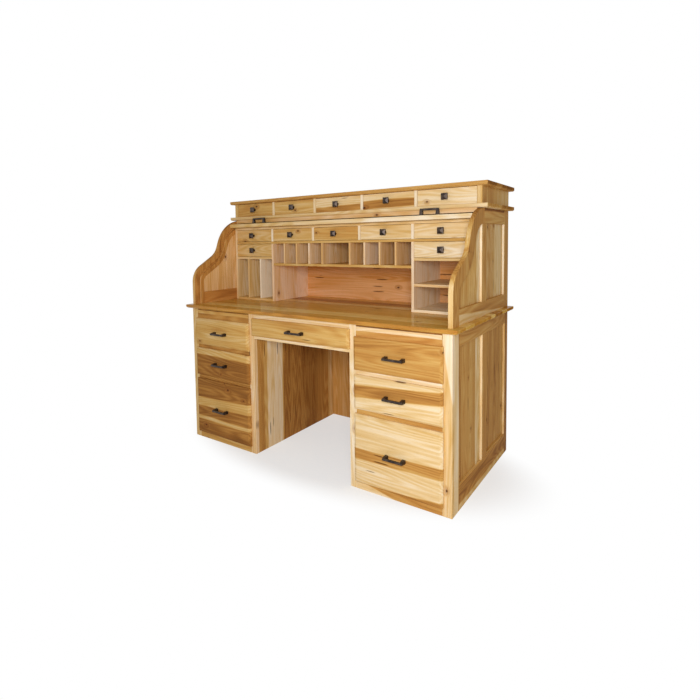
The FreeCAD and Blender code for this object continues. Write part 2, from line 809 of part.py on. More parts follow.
# Hutch: a bevelled board under a row of drawers and a crown over it
def hutch():
    wide = "half_body + hutch_overhang"
    along = ("hutch_front - hutch_front_overhang", "back")
    node("hutch_moulding", [
        bevelled_board("moulding_board", wide, along, "roll_top", "moulding_thickness", "hutch_bevel"),
        box("fascia", ("-half_inside", "half_inside"),
            (f"{along[0]} + hutch_bevel", f"{along[0]} + hutch_bevel + fascia_thickness"),
            ("fascia_floor", "roll_top")),
    ])
    node("hutch_top", [
        bevelled_board("crown_board", wide, along, "hutch_ceiling", "crown_thickness", "hutch_bevel"),
    ])
    up = ("hutch_floor", "hutch_ceiling")
    pieces = [
        box(f"hutch_{side}_side", sided(side, "hutch_half", "half_body"), ("hutch_front", "back"), up)
        for side in ("left", "right")
    ]
    pieces.append(box("hutch_back", ("-hutch_half", "hutch_half"), ("back_face", "back"), up))
    for index in range(int(size("drawer_columns")) - 1):
        start = column_edges("hutch_half", "hutch_column", "hutch_pitch", index)[1]
        pieces.append(box(f"hutch_divider_{index + 1}", (start, f"{start} + hutch_divider"),
                          ("hutch_front", "back_face"), up))
    node("hutch_case", pieces)
    for index in range(int(size("drawer_columns"))):
        label = f"hutch_drawer_{index + 1}"
        across = column_edges("hutch_half", "hutch_column", "hutch_pitch", index)
        inset_drawer(label, across, up, "hutch_face", "hutch_drawer_end")
        with_knob(label, across, up, "hutch_face")


for hand in ("left", "right"):
    outer_side(hand)
    face_frame(hand)
    pedestal_drawers(hand)
    writing_board(hand)
    roll_side(hand)
inner_sides()
drawer_runners()
centre_rails()
centre_drawer()
back_panels()
desk_top()
upper_back()
pigeonhole_case()
pigeonhole_dividers()
inner_drawers()
lead_rail()
tambour_slats()
hutch()
doc.recompute()

for feature in doc.Objects:
    if "Invalid" in feature.State or "Error" in feature.State:
        raise RuntimeError(f"{feature.Label} failed to build")
for group in nodes:
    if group.Shape.isNull() or not group.Shape.isValid():
        raise RuntimeError(f"{group.Label} has no valid shape")

os.makedirs("parts", exist_ok=True)
for group in nodes:
    group.Shape.exportStep(f"parts/{group.Label}.step")
    print(group.Label, len(group.Shape.Solids), "solids")
print(len(nodes), "sub-parts")
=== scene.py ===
import json
import math
import random

import bmesh
import bpy
from mathutils import Matrix, Vector


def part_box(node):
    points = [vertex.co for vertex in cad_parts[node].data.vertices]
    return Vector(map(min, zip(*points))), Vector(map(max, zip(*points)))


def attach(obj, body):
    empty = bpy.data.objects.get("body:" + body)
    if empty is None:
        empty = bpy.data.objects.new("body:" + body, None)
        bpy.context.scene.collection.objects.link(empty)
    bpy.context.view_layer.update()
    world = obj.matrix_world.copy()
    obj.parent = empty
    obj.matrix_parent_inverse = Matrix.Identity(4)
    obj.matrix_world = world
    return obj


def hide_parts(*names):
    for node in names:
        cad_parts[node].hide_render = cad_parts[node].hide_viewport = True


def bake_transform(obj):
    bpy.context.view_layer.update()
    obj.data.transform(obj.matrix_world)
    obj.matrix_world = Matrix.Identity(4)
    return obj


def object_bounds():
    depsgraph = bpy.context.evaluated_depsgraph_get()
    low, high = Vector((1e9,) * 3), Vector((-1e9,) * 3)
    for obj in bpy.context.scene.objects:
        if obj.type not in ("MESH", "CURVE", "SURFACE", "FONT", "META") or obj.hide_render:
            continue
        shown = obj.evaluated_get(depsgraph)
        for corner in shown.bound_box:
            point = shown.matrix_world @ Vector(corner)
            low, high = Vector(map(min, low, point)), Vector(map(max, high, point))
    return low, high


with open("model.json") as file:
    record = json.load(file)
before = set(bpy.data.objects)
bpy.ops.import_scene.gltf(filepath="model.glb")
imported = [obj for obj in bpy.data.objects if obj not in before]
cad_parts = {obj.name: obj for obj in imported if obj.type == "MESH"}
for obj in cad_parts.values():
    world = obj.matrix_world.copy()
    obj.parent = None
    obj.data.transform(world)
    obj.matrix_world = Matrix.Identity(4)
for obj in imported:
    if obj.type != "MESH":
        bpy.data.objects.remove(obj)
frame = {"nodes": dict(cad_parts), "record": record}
nodes = frame["nodes"]
cadBox = [list(corner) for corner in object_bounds()]
bodyOf = {}
for body, members in frame["record"]["behaviour"]["bodies"].items():
    for member in members:
        bodyOf[member] = body
print("frame loaded:", len(nodes), "nodes")


def linear(red, green, blue):
    # colours are written as they look on a screen, 0 to 255
    def channel(value):
        share = value / 255
        return share / 12.92 if share <= 0.04045 else ((share + 0.055) / 1.055) ** 2.4
    return (channel(red), channel(green), channel(blue), 1)


class Wire:
    # one socket of a node tree, so that shader maths reads as plain arithmetic
    def __init__(self, tree, socket=None):
        self.tree = tree
        self.socket = socket

    def add(self, kind, settings=None, values=None, output=0):
        made = self.tree.nodes.new(kind)
        for name, setting in (settings or {}).items():
            if name == "stops":
                fillRamp(made.color_ramp, setting)
            else:
                setattr(made, name, setting)
        for key, value in (values or {}).items():
            if isinstance(value, Wire):
                self.tree.links.new(value.socket, made.inputs[key])
            else:
                made.inputs[key].default_value = value
        return Wire(self.tree, made.outputs[output] if made.outputs else None)

    def maths(self, operation, *others):
        return self.add("ShaderNodeMath", {"operation": operation}, dict(enumerate((self, *others))))

    def __add__(self, other):
        return self.maths("ADD", other)

    def __sub__(self, other):
        return self.maths("SUBTRACT", other)

    def __rsub__(self, other):
        return self.add("ShaderNodeMath", {"operation": "SUBTRACT"}, {0: other, 1: self})

    def __mul__(self, other):
        return self.maths("MULTIPLY", other)

    __radd__ = __add__
    __rmul__ = __mul__

    def smooth(self, low, high):
        # 0 below low, 1 above high, and the other way round where low is the larger
        return self.add("ShaderNodeMapRange", {"interpolation_type": "SMOOTHSTEP"},
                        {"Value": self, "From Min": low, "From Max": high})

    def passes(self, limit):
        # 1 above the limit, with a step just wide enough not to look jagged
        return self.smooth(limit, limit + 0.01)

    def part(self, axis):
        return self.add("ShaderNodeSeparateXYZ", values={0: self}, output="XYZ".index(axis))

    def stretched(self, along, across, depth):
        # a coordinate scaled unevenly, so that a texture runs with the grain
        return self.add("ShaderNodeVectorMath", {"operation": "MULTIPLY"},
                        {0: self, 1: (along, across, depth)})

    def noise(self, scale=1.0, detail=2.0, rough=0.5):
        return self.add("ShaderNodeTexNoise",
                        values={"Vector": self, "Scale": scale, "Detail": detail, "Roughness": rough})

    def cells(self, scale):
        # a flat cell pattern: each cell's random values, and the distance to its middle
        gap = self.add("ShaderNodeTexVoronoi", {"voronoi_dimensions": "2D"},
                       {"Vector": self, "Scale": scale})
        return Wire(self.tree, gap.socket.node.outputs["Color"]), gap * (1 / scale)

    def tint(self, colour, share, blend="MIX"):
        return self.add("ShaderNodeMix", {"data_type": "RGBA", "blend_type": blend},
                        {0: share, 6: self, 7: colour}, output=2)


def fillRamp(ramp, stops):
    while len(ramp.elements) < len(stops):
        ramp.elements.new(1)
    for element, (position, colour) in zip(ramp.elements, stops):
        element.position = position
        element.color = colour


def newMaterial(name):
    material = bpy.data.materials.new(name)
    material.use_nodes = True
    material.node_tree.nodes.clear()
    return material, Wire(material.node_tree)


def surface(start, values):
    shader = start.add("ShaderNodeBsdfPrincipled", values=values)
    start.add("ShaderNodeOutputMaterial", values={"Surface": shader})


# Hickory: every board carries its own grain direction, tone and heartwood bands as attributes
hickory = {
    # from sapwood to the darkest heartwood
    "tones": [
        (0.00, linear(248, 231, 203)),
        (0.18, linear(235, 204, 152)),
        (0.38, linear(215, 172, 100)),
        (0.56, linear(196, 141, 72)),
        (0.74, linear(158, 105, 50)),
        (1.00, linear(104, 64, 32)),
    ],
    # tints of a board and of a lacquer
    "rosy": linear(255, 168, 112),
    "amber": linear(255, 238, 140),
    # lacquers
    "satin": {"coat": 0.06, "roughness": 0.14, "amber": 0},
    "polish": {"coat": 0.45, "roughness": 0.09, "amber": 0.65},
    # changes per metre along, across and through the grain
    "scale": {
        "sway": (2.4, 9, 9), "ripple": (9, 60, 60), "figure": (0.9, 8.5, 8.5),
        "fibre": (5, 210, 210), "cloud": (1.6, 22, 22), "pores": (30, 900, 900),
    },
    "rippleWidth": 0.006,
    "ringCount": 130,
    "poreLimits": (0.62, 0.72),
    "poreShare": 0.2,
    "bandEdge": 0.004,
    # what each pattern adds to the tone, the roughness and the relief
    "toneOf": {"stave": 0.3, "rings": 0.11, "cloud": 0.44, "fibre": 0.34},
    "roughness": {"least": 0.35, "fibre": 0.10, "pores": 0.12},
    "relief": {"strength": 0.25, "depth": 0.0004, "fibre": 0.6, "pores": 0.5, "rings": 0.3},
    "knots": {
        "colour": linear(72, 38, 20), "share": 0.85, "halo": linear(158, 98, 46), "haloShare": 0.5,
        "stretch": (0.65, 1, 0), "cells": 9, "smallest": 0.002, "growth": 0.0035, "edge": 0.001,
        "haloReach": 3, "haloEdge": 0.009, "ringBend": 0.05,
    },
    "streaks": {
        "colour": linear(94, 54, 24), "share": 0.8, "stretch": (0.09, 1, 0), "cells": 28, "chance": 0.5,
        "thinnest": 0.001, "growth": 0.0032, "edge": (-0.0006, 0.001),
    },
}


def hickoryMaterial(name, lacquer):
    material, start = newMaterial(name)
    knots, streaks = hickory["knots"], hickory["streaks"]
    toneOf, roughness, relief = hickory["toneOf"], hickory["roughness"], hickory["relief"]

    def attribute(label):
        return start.add("ShaderNodeAttribute", {"attribute_name": label}, output="Vector")

    grain = attribute("grain")
    seed = attribute("seed")
    tone = attribute("tone")
    marks = attribute("marks")
    cut = attribute("cut")
    along = grain.part("X")
    across = grain.part("Y")
    place = start.add("ShaderNodeVectorMath", {"operation": "ADD"}, {0: grain, 1: seed})

    def pattern(label, detail, rough=0.5):
        return place.stretched(*hickory["scale"][label]).noise(detail=detail, rough=rough)

    # slow waves in the grain, which the band edges follow
    sway = pattern("sway", detail=1.5) - 0.5
    ripple = pattern("ripple", detail=3) - 0.5
    wavy = across + sway * marks.part("Z") + ripple * hickory["rippleWidth"]

    # small knots: a share of the cells of a flat pattern has one, each of its own size
    chance, gap = place.stretched(*knots["stretch"]).cells(knots["cells"])
    knotty = (chance.part("X") + marks.part("X")).passes(1)
    size = chance.part("Y") * knots["growth"] + knots["smallest"]
    knot = (size - gap).smooth(-knots["edge"], knots["edge"]) * knotty
    halo = (size * knots["haloReach"] - gap).smooth(-knots["haloEdge"], knots["haloEdge"]) * knotty

    # thin dark streaks along the grain
    chance, gap = place.stretched(*streaks["stretch"]).cells(streaks["cells"])
    streaky = (chance.part("X") + marks.part("Y") * streaks["chance"]).passes(1)
    size = chance.part("Y") * streaks["growth"] + streaks["thinnest"]
    streak = (size - gap).smooth(*streaks["edge"]) * streaky

    # growth rings, which bend round the knots, then the finer patterns
    phase = (pattern("figure", detail=1.2) + halo * knots["ringBend"]) * hickory["ringCount"]
    rings = phase.maths("SINE") * 0.5 + 0.5
    fibre = pattern("fibre", detail=4, rough=0.68)
    cloud = pattern("cloud", detail=2.5)
    pores = pattern("pores", detail=1).smooth(*hickory["poreLimits"])

    # up to three bands per board, each with a middle, a half width, a tone and a slope
    level = tone.part("X")
    slopes = attribute("slopes")
    edge = hickory["bandEdge"]
    for label, axis in zip(("bandA", "bandB", "bandC"), "XYZ"):
        band = attribute(label)
        offset = wavy - band.part("X") - along * slopes.part(axis)
        inside = (offset.maths("ABSOLUTE") - band.part("Y")).smooth(edge, -edge)
        level = level + inside * (band.part("Z") - level)

    # glued-up staves differ a little from each other
    staveIndex = (across * tone.part("Y")).maths("FLOOR")
    staveCode = start.add("ShaderNodeCombineXYZ", values={0: staveIndex, 1: seed.part("X")})
    stave = start.add("ShaderNodeTexWhiteNoise", {"noise_dimensions": "2D"}, {"Vector": staveCode})
    hasStaves = tone.part("Y").smooth(0, 1)
    level = level + (stave - 0.5) * hasStaves * toneOf["stave"] + cut.part("X")
    level = level + (rings - 0.5) * toneOf["rings"]
    level = level + (cloud - 0.5) * toneOf["cloud"] + (fibre - 0.5) * toneOf["fibre"]

    colour = start.add("ShaderNodeValToRGB", {"stops": hickory["tones"]}, {0: level})
    colour = colour.tint(hickory["rosy"], tone.part("Z"), "MULTIPLY")
    colour = colour.tint(streaks["colour"], streak * streaks["share"] + pores * hickory["poreShare"])
    colour = colour.tint(knots["halo"], halo * knots["haloShare"])
    colour = colour.tint(knots["colour"], knot * knots["share"])
    colour = colour.tint(hickory["amber"], lacquer["amber"], "MULTIPLY")
    height = fibre * relief["fibre"] - pores * relief["pores"] + rings * relief["rings"]
    surface(start, {
        "Base Color": colour,
        "Roughness": fibre * roughness["fibre"] + pores * roughness["pores"] + roughness["least"],
        "Specular IOR Level": 0,  # the lacquer alone is glossy
        "Normal": start.add("ShaderNodeBump", values={
            "Strength": relief["strength"], "Distance": relief["depth"], "Height": height}),
        "Coat Weight": (1 - cut.part("Y")) * lacquer["coat"],
        "Coat Roughness": lacquer["roughness"],
    })
    return material


lacqueredHickory = hickoryMaterial("lacquered_hickory", hickory["satin"])
polishedHickory = hickoryMaterial("polished_hickory", hickory["polish"])
print("wood ready")

bronze = {
    "colour": linear(48, 42, 40), "worn": linear(100, 86, 76), "wornFrom": 0.35, "wornFully": 0.80,
    "patchScale": 55, "gritScale": 900, "metallic": 0.85,
    "roughness": {"least": 0.22, "patch": 0.25, "grit": 0.15},
    "relief": {"strength": 0.3, "depth": 0.0003},
}


def bronzeMaterial():
    material, start = newMaterial("dark_bronze")
    roughness, relief = bronze["roughness"], bronze["relief"]
    place = start.add("ShaderNodeTexCoord", output="Object")
    patch = place.noise(scale=bronze["patchScale"], detail=4, rough=0.6)
    grit = place.noise(scale=bronze["gritScale"], detail=3, rough=0.7)
    wear = [(bronze["wornFrom"], bronze["colour"]), (bronze["wornFully"], bronze["worn"])]
    surface(start, {
        "Base Color": start.add("ShaderNodeValToRGB", {"stops": wear}, {0: patch}),
        "Metallic": bronze["metallic"],
        "Roughness": patch * roughness["patch"] + grit * roughness["grit"] + roughness["least"],
        "Normal": start.add("ShaderNodeBump", values={
            "Strength": relief["strength"], "Distance": relief["depth"], "Height": grit + patch}),
    })
    return material


darkBronze = bronzeMaterial()
print("bronze ready")


# Boards: each solid of a wooden CAD node is copied as one board, with its edges eased
joinery = {
    "mergeWithin": 1e-5, "easeSegments": 2,
    "flatWithin": 0.5, "sharpOver": 22, "creaseOver": 20,  # degrees
    "endFrom": 0.4, "endFully": 0.9, "edgeUnder": 0.6,  # parts of a normal, along and through the grain
    "seedRange": 40,
}
boardLook = {
    "tone": 0.25, "spread": 0.04, "stave": 0, "rosy": 0, "knots": 0, "streaks": 0,
    "bands": [], "sway": 0.14, "grain": None, "ease": 0.0007, "edge": 0, "ends": 0.3,
}
noBand = (9, 0, 0, 0)  # far off every board


def boardFaces(mesh):
    # a node's solids follow each other, so a board is complete when no edge is left open
    corner = [tuple(round(value / joinery["mergeWithin"]) for value in vertex.co)
              for vertex in mesh.vertices]
    openEdges = set()
    group = set()
    for face in mesh.polygons:
        group.add(face.index)
        ring = [corner[index] for index in face.vertices]
        for first, second in zip(ring, ring[1:] + ring[:1]):
            if (second, first) in openEdges:
                openEdges.remove((second, first))
            else:
                openEdges.add((first, second))
        if not openEdges:
            yield group
            group = set()


def roundEdges(shape, edges, width, segments):
    bmesh.ops.bevel(shape, geom=edges, offset=width, offset_type="OFFSET", segments=segments, profile=0.5,
                    affect="EDGES", clamp_overlap=True, material=-1)


def easedBoard(mesh, group, ease):
    board = bmesh.new()
    board.from_mesh(mesh)
    board.faces.ensure_lookup_table()
    others = [face for face in board.faces if face.index not in group]
    bmesh.ops.delete(board, geom=others, context="FACES")
    bmesh.ops.remove_doubles(board, verts=board.verts, dist=joinery["mergeWithin"])
    bmesh.ops.dissolve_limit(board, angle_limit=math.radians(joinery["flatWithin"]),
                             verts=board.verts, edges=board.edges)
    limit = math.radians(joinery["sharpOver"])
    sharp = [edge for edge in board.edges if edge.calc_face_angle(0) > limit]
    roundEdges(board, sharp, ease, joinery["easeSegments"])
    return board


def cutValues(board, order, look):
    # end grain has its own tone and no gloss, and a board's edges may have a tone of their own; a negative
    # edge tone lightens them as a painted highlight
    rows = []
    for vertex in board.verts:
        facing = abs(vertex.normal[order[0]]) - joinery["endFrom"]
        endShare = min(max(facing / (joinery["endFully"] - joinery["endFrom"]), 0), 1)
        # the narrow faces, which a negative edge tone paints with a highlight
        edgeHighlight = abs(vertex.normal[order[2]]) < joinery["edgeUnder"]
        rows.append((endShare * look["ends"] + edgeHighlight * look["edge"], endShare, 0))
    return rows


def boardValues(board, look, name):
    # the attribute values of one board: those that change from point to point, and the fixed ones
    board.normal_update()
    points = [vertex.co.copy() for vertex in board.verts]
    low = Vector([min(point[axis] for point in points) for axis in range(3)])
    high = Vector([max(point[axis] for point in points) for axis in range(3)])
    middle = (low + high) / 2
    extent = high - low
    # along, across and through the grain
    order = sorted(range(3), key=lambda axis: -extent[axis])
    if look["grain"] is not None:
        main = "xyz".index(look["grain"])
        order = [main] + [axis for axis in order if axis != main]
    length, width = extent[order[0]], extent[order[1]]
    chance = random.Random(name)
    seed = [chance.uniform(-joinery["seedRange"], joinery["seedRange"]) for axis in range(3)]
    tone = look["tone"] + chance.uniform(-1, 1) * look["spread"]
    staves = 1 / look["stave"] if look["stave"] else 0
    bands = [(shift * width, half * width, shade, tilt * width / length)
             for shift, half, shade, tilt in look["bands"]]
    bands += [noBand] * (3 - len(bands))
    varying = {
        "grain": [[(point - middle)[axis] for axis in order] for point in points],
        "cut": cutValues(board, order, look),
    }
    fixed = {
        "seed": seed,
        "tone": (tone, staves, look["rosy"]),
        "marks": (look["knots"], look["streaks"], width * look["sway"]),
        "slopes": [band[3] for band in bands],
        "bandA": bands[0][:3],
        "bandB": bands[1][:3],
        "bandC": bands[2][:3],
    }
    return varying, fixed


def joined(name, shapes):
    # one mesh out of several shapes, in their order
    whole = bmesh.new()
    scrap = bpy.data.meshes.new("scrap")
    for shape in shapes:
        shape.to_mesh(scrap)
        shape.free()
        whole.from_mesh(scrap)
    mesh = bpy.data.meshes.new(name)
    whole.to_mesh(mesh)
    whole.free()
    bpy.data.meshes.remove(scrap)
    return mesh


def finished(name, mesh, material):
    mesh.polygons.foreach_set("use_smooth", [True] * len(mesh.polygons))
    mesh.set_sharp_from_angle(angle=math.radians(joinery["creaseOver"]))
    mesh.materials.append(material)
    piece = bpy.data.objects.new(name, mesh)
    bpy.context.scene.collection.objects.link(piece)
    return piece


def boardPiece(name, boards, material):
    # every board of the piece has its own attribute values
    columns = {}
    for index, (board, look) in enumerate(boards):
        varying, fixed = boardValues(board, look, f"{name} {index}")
        for label, rows in varying.items():
            columns.setdefault(label, []).extend(rows)
        for label, value in fixed.items():
            columns.setdefault(label, []).extend([value] * len(board.verts))
    mesh = joined(name, [board for board, look in boards])
    for label, rows in columns.items():
        layer = mesh.attributes.new(label, "FLOAT_VECTOR", "POINT")
        layer.data.foreach_set("vector", [value for row in rows for value in row])
    return finished(name, mesh, material)


def dressNode(name, looks, material, first=0):
    # the node's boards from the first one on; the last look holds for the boards that follow
    mesh = nodes[name].data
    boards = []
    for index, group in enumerate(boardFaces(mesh)):
        if index >= first:
            look = {**boardLook, **looks[min(index, len(looks) - 1)]}
            boards.append((easedBoard(mesh, group, look["ease"]), look))
    piece = boardPiece(f"{name}_boards", boards, material)
    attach(piece, bodyOf[name])
    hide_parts(name)


def wood(tone, *bands, **more):
    # a band is (middle, half width, tone, slope), in shares of the board's width
    return {"tone": tone, "bands": list(bands), **more}


# painted highlight: the fronts' end grain, on the lips' side bevels, is a little lighter than the face
# instead of darker
drawerFront = {"ease": 0.0012, "ends": -0.08}
drawerInside = wood(0.22, spread=0.05)
fronts = {
    "right_upper_drawer": wood(0.58, streaks=0.2, knots=0.2),
    "right_middle_drawer": wood(0.18, (0.13, 0.18, 0.60, 0.22), streaks=0.5, sway=0.08),
    # the file drawer's second band, at the foot of the front, is painted shade on the lip's lower bevel
    "right_file_drawer": wood(0.15, (-0.058, 0.068, 0.57, 0.02), (-0.565, 0.10, 0.58, 0.07),
                              streaks=0.6, knots=0.2, sway=0.06),
    "left_upper_drawer": wood(0.42, streaks=0.3, knots=0.3),
    "left_middle_drawer": wood(0.72, (0.40, 0.14, 0.36, -0.10), streaks=0.2, knots=0.3, sway=0.10),
    "left_file_drawer": wood(0.70, (0.10, 0.085, 0.36, 0.04), (-0.21, 0.035, 0.40, 0),
                             knots=0.4, sway=0.05),
    "centre_drawer": wood(0.43, streaks=0.2),
    "hutch_drawer_1": wood(0.42, knots=0.8),
    "hutch_drawer_2": wood(0.38, knots=0.9),
    "hutch_drawer_3": wood(0.24, (-0.30, 0.20, 0.58, 0.10), streaks=0.2),
    "hutch_drawer_4": wood(0.27, (-0.18, 0.26, 0.70, 0.06), knots=0.4),
    "hutch_drawer_5": wood(0.20, knots=0.7, streaks=1),
    "inner_drawer_1": wood(0.36, knots=0.5),
    "inner_drawer_2": wood(0.36, knots=0.3),
    "inner_drawer_3": wood(0.46, knots=1),
    "inner_drawer_4": wood(0.28, knots=0.5),
    "inner_drawer_5": wood(0.18, knots=0.5),
    "left_stack_drawer": wood(0.34),
    "right_stack_drawer": wood(0.14),
}
# the other nodes' boards, in each node's own order
carcass = {
    "right_face_frame": {
        "base rail": wood(0.54, (-2.1, 1.5, 0.16, -2.2), knots=0.3),
        "lower rail": wood(0.52),
        "upper rail": wood(0.14),
        "board rail": wood(0.54, rosy=0.1),
        # painted shadow: this strip right under the desk top is dark where the top's overhang shades it
        "top rail": wood(0.80),
        "outer stile": wood(0.30, (1.9, 1, 0.06, -3.2), rosy=0.04, spread=0, knots=0.7),
        "inner stile": wood(0.16, knots=0.5),
    },
    "left_face_frame": {
        "base rail": wood(0.46, knots=0.6),
        "lower rail": wood(0.58),
        "upper rail": wood(0.66),
        # painted shade: the board rail under the writing board is darker where the board shades it, and the
        # top rail under the desk top is dark as painted shadow of the top's overhang
        "board rail": wood(0.66),
        "top rail": wood(0.72),
        "outer stile": wood(0.36),
        "inner stile": wood(0.24, rosy=0.12, streaks=0.2),
    },
    "right_outer_side": {
        "front stile": wood(0.16, (0.64, 0.24, 0.76, 0), spread=0, sway=0.4, streaks=0.4),
        # the negative edge tones paint highlights on the stiles' and rails' edges along the panels
        "middle stile": wood(0.57, edge=-0.38),
        "rear stile": wood(0.72, edge=-0.44),
        "top rail": wood(0.58, edge=-0.2),
        "bottom rail": wood(0.68, (-0.44, 0.20, 0.36, 0), edge=-0.2),
        "front panel": wood(0.53, (0.40, 0.13, 0.20, 0), stave=0.095, knots=0.7, streaks=0.5),
        "rear panel": wood(0.56, stave=0.11, knots=0.4, streaks=0.6),
    },
    "left_outer_side": {
        "front stile": wood(0.20),
        "middle stile": wood(0.30),
        "rear stile": wood(0.45),
        "top rail": wood(0.40),
        "bottom rail": wood(0.50, (0.4, 0.3, 0.2, -0.3)),
        "front panel": wood(0.38, stave=0.10, knots=0.6, streaks=0.4),
        "rear panel": wood(0.42, stave=0.10, knots=0.5, streaks=0.4),
    },
    "right_roll_side": {
        # the negative edge tones paint highlights on the S-shaped front edge and on the stiles' edges along
        # the panels
        "lower stile": wood(0.53, grain="z", edge=-0.26),
        "upper stile": wood(0.56, grain="z", edge=-0.22),
        "middle stile": wood(0.54, edge=-0.44),
        "front panel": wood(0.50, (0.44, 0.09, 0.16, 0), stave=0.10, streaks=0.5),
        "rear panel": wood(0.34, (0.44, 0.08, 0.18, 0), stave=0.11, streaks=0.6, knots=0.4),
        "rear stile": wood(0.56, edge=-0.46),
        # painted shadow: the dark band along the rail's top stands for the shadow under the moulding's
        # overhang
        "top rail": wood(0.46, (0.42, 0.11, 0.85, 0)),
        "bottom rail": wood(0.54, (-0.525, 0.38, 0.24, -0.65)),
    },
    "left_roll_side": {
        # the negative edge tones paint a highlight along the S-shaped front edge
        "lower stile": wood(0.54, grain="z", rosy=0.1, edge=-0.26),
        "upper stile": wood(0.56, grain="z", rosy=0.1, edge=-0.1),
        "middle stile": wood(0.4),
        "front panel": wood(0.26, stave=0.13, rosy=0.2, knots=0.4, streaks=0.3),
        "rear panel": wood(0.36, stave=0.1),
        "rear stile": wood(0.42),
        "top rail": wood(0.4),
        "bottom rail": wood(0.56, rosy=0.2, streaks=0.5),
    },
    "inner_sides": {
        "left": wood(0.56, (-0.315, 0.085, 0.24, 0), (-0.46, 0.06, 0.54, 0.02), (0.40, 0.03, 0.30, 0),
                     stave=0.16, grain="z", streaks=0.3, sway=0.03),
        "right": wood(0.58, (0.1, 0.1, 0.3, 0), stave=0.12, rosy=0.3, grain="z", streaks=0.3),
    },
    "drawer_runners": {"runners": wood(0.30)},
    "centre_rails": {"top rail": wood(0.18), "bottom rail": wood(0.16, streaks=0.3)},
    "back_panels": {
        "kneehole 1": wood(0.36, rosy=0.2),
        "kneehole 2": wood(0.50, rosy=0.2),
        "kneehole 3": wood(0.56, rosy=0.2),
        "kneehole 4": wood(0.40, rosy=0.2),
        "kneehole 5": wood(0.52, rosy=0.2),
        "pedestals": wood(0.34, spread=0.16, knots=0.5, streaks=0.4),
    },
    "upper_back": {"boards": wood(0.34, spread=0.16, knots=0.5, streaks=0.4)},
    "pigeonhole_case": {
        "top board": wood(0.26),
        "row board": wood(0.40),
        # painted light: the alcove's back board, stack sides and row dividers are paler than their wood,
        # standing in for light that reaches the alcove
        "back board": wood(0.25, stave=0.085, rosy=0.42, streaks=0.3, knots=0.1),
        "shelf": wood(0.36),
        "left side": wood(0.22),
        "left stack side": wood(0.12, (0.36, 0.16, 0.02, 0), rosy=0.2, grain="z", knots=0.3),
        "left stack board": wood(0.30, grain="x"),
        "left stack bottom": wood(0.26, grain="x"),
        "right side": wood(0.10),
        "right stack side": wood(0, rosy=0.1),
        "right stack board": wood(0.30, grain="x"),
        "right stack bottom": wood(0.10, grain="x"),
        "row dividers": wood(0, spread=0, grain="z"),
    },
    "pigeonhole_dividers": {
        **{f"pigeonhole {number}": wood(0.17, spread=0.12, rosy=0.14, grain="z") for number in range(1, 9)},
        "slot 1": wood(0.24, grain="z"),
        "slot 2": wood(0, spread=0, grain="z"),
        "stack shelf": wood(0.14, rosy=0.1, grain="x"),
    },
    "hutch_moulding": {
        "moulding": wood(0.30, stave=0.09, ease=0.0015),
        "fascia": wood(0.20, rosy=0.15, knots=0.2),
    },
    "hutch_top": {"crown": wood(0.46, stave=0.09, ease=0.0015)},
    "hutch_case": {
        "left side": wood(0.30, grain="z"),
        # the negative edge tone paints a highlight on this side's edges
        "right side": wood(0.46, (0.32, 0.30, 0.34, 0), grain="z", edge=-0.2),
        "back": wood(0.34),
        "dividers": wood(0.14, spread=0.05, grain="z"),
    },
    "left_writing_board": {"leaf": wood(0.45, grain="x")},
    "right_writing_board": {"leaf": wood(0.17, grain="x", rosy=0.05)},
    "tambour_lead_rail": {
        "rail": wood(0.34, (-3.5, 4, 0.20, 6), (-5.3, 4, 0.08, 6), spread=0, ease=0.002),
    },
}
deskTop = wood(0.46, (0.06, 0.035, 0.12, 0), (0.30, 0.05, 0.18, 0), (-0.34, 0.06, 0.22, 0.05),
               stave=0.10, streaks=0.4, knots=0.2, sway=0.04, ease=0.003, ends=0.08)
for name, front in fronts.items():
    dressNode(name, [{**front, **drawerFront}, drawerInside], lacqueredHickory)
for name, looks in carcass.items():
    dressNode(name, list(looks.values()), lacqueredHickory)
dressNode("desk_top", [deskTop], polishedHickory)
print("boards dressed")


# Curtain: the slats behind the lead rail, spaced on the flat run so that they lie one pitch apart along the
# bend once the roll comes down
curtain = {
    "pitch": 0.019, "gap": 0.001, "thickness": 0.012, "firstStill": 13, "step": 0.0001,
    "round": 0.004, "roundShare": 0.35, "roundSegments": 4, "tone": 0.30, "spread": 0.08,
}
slatLook = {**boardLook, **wood(curtain["tone"], spread=curtain["spread"])}


def slatEdges(rear, front, height, hinge, turn):
    # places along the flat run that lie one pitch apart once the roll is lowered
    def lowered(place):
        share = (rear - place) / (rear - front)
        angle = turn * share * share * (3 - 2 * share)  # eased at both ends, as the blend is
        arm = Vector((place - hinge.y, height - hinge.z))
        return Vector((arm.x * math.cos(angle) - arm.y * math.sin(angle),
                       arm.x * math.sin(angle) + arm.y * math.cos(angle)))

    edges = [front]
    place = front
    travelled = 0
    wanted = [curtain["pitch"] - curtain["gap"], curtain["gap"]]
    while place < rear - curtain["step"]:
        travelled += (lowered(place + curtain["step"]) - lowered(place)).length
        place += curtain["step"]
        if travelled >= wanted[(len(edges) - 1) % 2]:
            edges.append(place)
            travelled = 0
    if len(edges) % 2:
        edges.append(rear - curtain["gap"])
    return edges


def roundedSlat(low, high):
    slat = bmesh.new()
    size = high - low
    middle = (low + high) / 2
    bmesh.ops.create_cube(slat, size=1, matrix=Matrix.Translation(middle) @ Matrix.Diagonal((*size, 1)))
    upper = [edge for edge in slat.edges if all(vertex.co.z > middle.z for vertex in edge.verts)]
    roundEdges(slat, upper, min(curtain["round"], size.y * curtain["roundShare"]), curtain["roundSegments"])
    return slat


